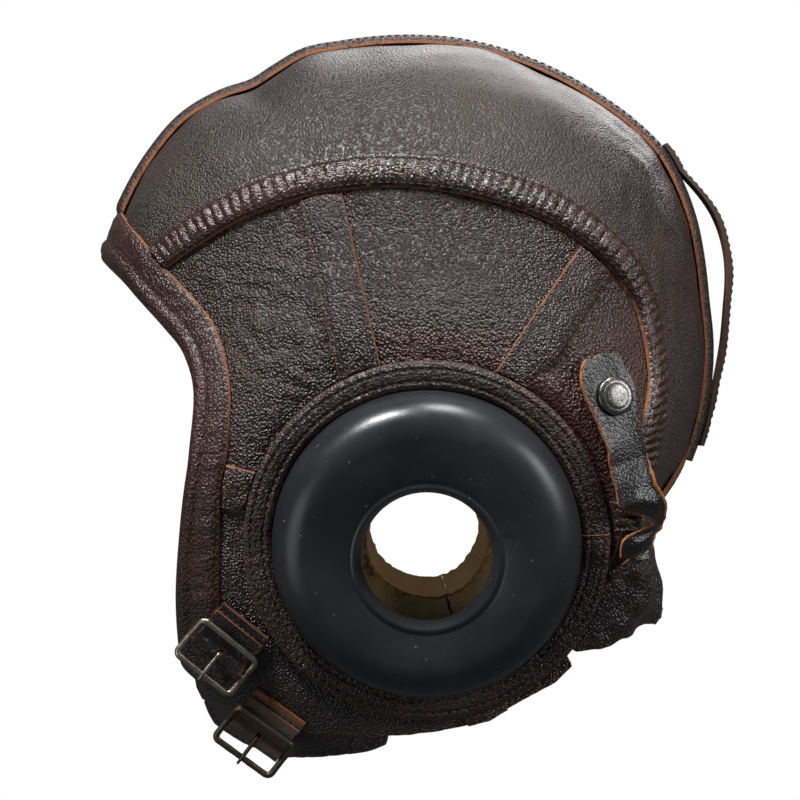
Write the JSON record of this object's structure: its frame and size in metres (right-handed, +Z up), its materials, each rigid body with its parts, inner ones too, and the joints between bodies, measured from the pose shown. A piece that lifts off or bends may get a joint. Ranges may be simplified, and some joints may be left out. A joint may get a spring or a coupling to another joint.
{
  "type": "flying helmet",
  "caption": "Close leather flying helmet with rubber ear cups, snap goggle tabs, a rear goggle loop, buckle tabs, a chin strap and a chamois lining.",
  "frame": {"origin": "the middle of the line between the centres of the two ear cups, where the wearer's head holds the helmet", "axes": "+Z up through the crown, -X towards the face, -Y towards the wearer's left ear as pictured"},
  "size_m": [0.2163, 0.2076, 0.2504],
  "materials": {
    "panel_leather": "semi-gloss, fine grain",
    "band_leather": "semi-gloss, creased",
    "strap_leather": "worn satin with raw edges",
    "rubber": "satin",
    "chamois": "napped suede",
    "elastic": "woven",
    "nickel": "worn nickel plate"
  },
  "bodies": {
    "helmet": {"cheek_lining_left": "chamois", "cheek_lining_right": "chamois", "cheek_panel_left": "panel_leather", "cheek_panel_right": "panel_leather", "cheek_strip_left": "band_leather", "cheek_strip_right": "band_leather", "chin_flap_left": "panel_leather", "chin_flap_right": "panel_leather", "crown_lining_left": "chamois", "crown_lining_right": "chamois", "crown_panel_left": "panel_leather", "crown_panel_right": "panel_leather", "crown_strip": "panel_leather", "ear_cup_left": "rubber", "ear_cup_right": "rubber", "ear_lining_left": "chamois", "ear_lining_right": "chamois", "ear_ring_left": "band_leather", "ear_ring_right": "band_leather", "ear_skirt_left": "panel_leather", "ear_skirt_right": "panel_leather", "face_band": "band_leather", "front_strip_left": "band_leather", "front_strip_right": "band_leather", "lower_strip_left": "band_leather", "lower_strip_right": "band_leather", "nape_elastic": "elastic", "nape_panel": "panel_leather", "rear_goggle_loop": "strap_leather", "rear_panel_left": "panel_leather", "rear_panel_right": "panel_leather", "rear_strip_left": "band_leather", "rear_strip_right": "band_leather", "seam_band_left": "band_leather", "seam_band_right": "band_leather", "snap_stud_left": "nickel", "snap_stud_right": "nickel", "temple_panel_left": "panel_leather", "temple_panel_right": "panel_leather", "top_panel_left": "panel_leather", "top_panel_right": "panel_leather"},
    "buckle_frame_lower": {"buckle_frame_lower": "nickel"},
    "buckle_frame_upper": {"buckle_frame_upper": "nickel"},
    "buckle_prong_lower": {"buckle_prong_lower": "nickel"},
    "buckle_prong_upper": {"buckle_prong_upper": "nickel"},
    "buckle_tab_lower": {"buckle_tab_lower": "strap_leather"},
    "buckle_tab_upper": {"buckle_tab_upper": "strap_leather"},
    "chin_strap": {"chin_strap": "strap_leather"},
    "goggle_tab_left": {"goggle_tab_left": "strap_leather", "snap_cap_left": "nickel", "snap_socket_left": "nickel"},
    "goggle_tab_right": {"goggle_tab_right": "strap_leather", "snap_cap_right": "nickel", "snap_socket_right": "nickel"}
  },
  "joints": [
    {"name": "buckle_tab_upper_flex", "type": "hinge", "parent": "helmet", "child": "buckle_tab_upper", "pos_m": [-0.05868, -0.073, -0.0264], "axis": [-0.7743, -0.074, 0.6284], "range_deg": [0, 60]},
    {"name": "buckle_frame_upper_swing", "type": "hinge", "parent": "buckle_tab_upper", "child": "buckle_frame_upper", "pos_m": [-0.06828, -0.0722, -0.03813], "axis": [0.7743, 0.074, -0.6284], "range_deg": [0, 15]},
    {"name": "buckle_prong_upper_swing", "type": "hinge", "parent": "buckle_frame_upper", "child": "buckle_prong_upper", "pos_m": [-0.06828, -0.0722, -0.03813], "axis": [-0.7743, -0.074, 0.6284], "range_deg": [0, 80]},
    {"name": "buckle_tab_lower_flex", "type": "hinge", "parent": "helmet", "child": "buckle_tab_lower", "pos_m": [-0.04738, -0.06522, -0.05475], "axis": [-0.8033, -0.0682, 0.5917], "range_deg": [0, 60]},
    {"name": "buckle_frame_lower_swing", "type": "hinge", "parent": "buckle_tab_lower", "child": "buckle_frame_lower", "pos_m": [-0.05626, -0.06104, -0.06632], "axis": [0.8033, 0.0682, -0.5917], "range_deg": [0, 15]},
    {"name": "buckle_prong_lower_swing", "type": "hinge", "parent": "buckle_frame_lower", "child": "buckle_prong_lower", "pos_m": [-0.05626, -0.06104, -0.06632], "axis": [-0.8033, -0.0682, 0.5917], "range_deg": [0, 80]},
    {"name": "goggle_tab_left_flex", "type": "hinge", "parent": "helmet", "child": "goggle_tab_left", "pos_m": [0.06635, -0.07768, -0.00648], "axis": [0.8873, 0.4298, 0.1673], "range_deg": [0, 90]},
    {"name": "goggle_tab_right_flex", "type": "hinge", "parent": "helmet", "child": "goggle_tab_right", "pos_m": [0.06635, 0.07768, -0.00648], "axis": [-0.8873, 0.4298, -0.1673], "range_deg": [0, 90]},
    {"name": "chin_strap_flex", "type": "hinge", "parent": "helmet", "child": "chin_strap", "pos_m": [-0.05233, 0.05149, -0.05849], "axis": [0.8922, 0.3239, -0.3147], "range_deg": [-60, 25]}
  ]
}
